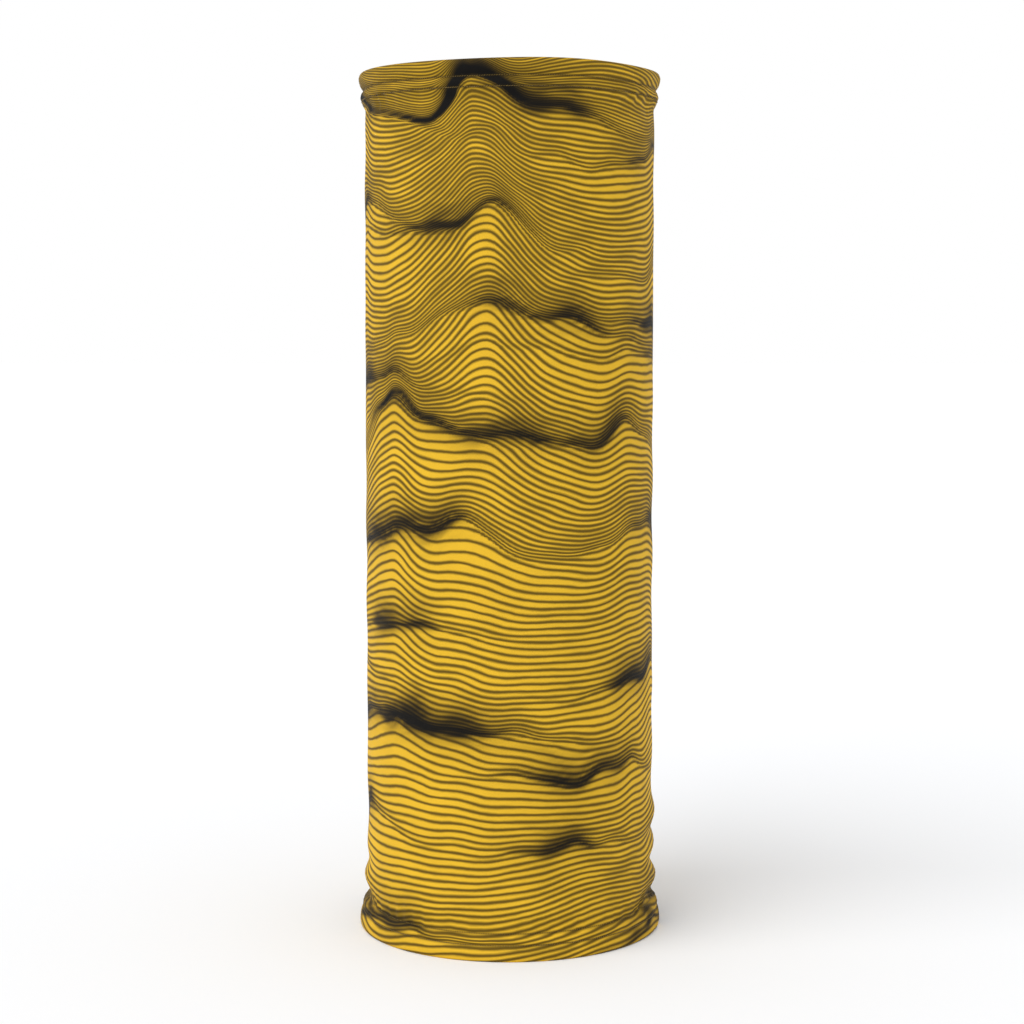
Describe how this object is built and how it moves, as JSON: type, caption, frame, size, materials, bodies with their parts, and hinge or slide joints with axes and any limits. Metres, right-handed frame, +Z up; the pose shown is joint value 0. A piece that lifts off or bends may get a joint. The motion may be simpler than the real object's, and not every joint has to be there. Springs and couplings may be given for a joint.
{
  "type": "neck gaiter",
  "caption": "Tube of thin stretch knit, open at both ends, with a turned and coverstitched hem at each end and an overlocked seam down the back.",
  "frame": {"origin": "centre of the lower fold's ring, on the surface that the tube stands on", "axes": "+Z up along the tube's axis, -Y the front, +Y the back seam"},
  "size_m": [0.1658, 0.1658, 0.46],
  "materials": {
    "printed_knit": "soft stretch knit, yellow with a dark printed line pattern, unprinted on the inside",
    "seam_thread": "textured polyester thread",
    "label_ribbon": "blank satin ribbon"
  },
  "bodies": {
    "root": {"body_panel": "printed_knit", "top_hem_needle_thread_outer": "seam_thread", "top_hem_needle_thread_inner": "seam_thread", "top_hem_looper_thread": "seam_thread", "bottom_hem_needle_thread_outer": "seam_thread", "bottom_hem_needle_thread_inner": "seam_thread", "bottom_hem_looper_thread": "seam_thread", "back_seam_needle_thread_left": "seam_thread", "back_seam_needle_thread_right": "seam_thread", "back_seam_upper_looper_thread": "seam_thread", "back_seam_lower_looper_thread": "seam_thread", "care_label": "label_ribbon"}
  },
  "joints": []
}
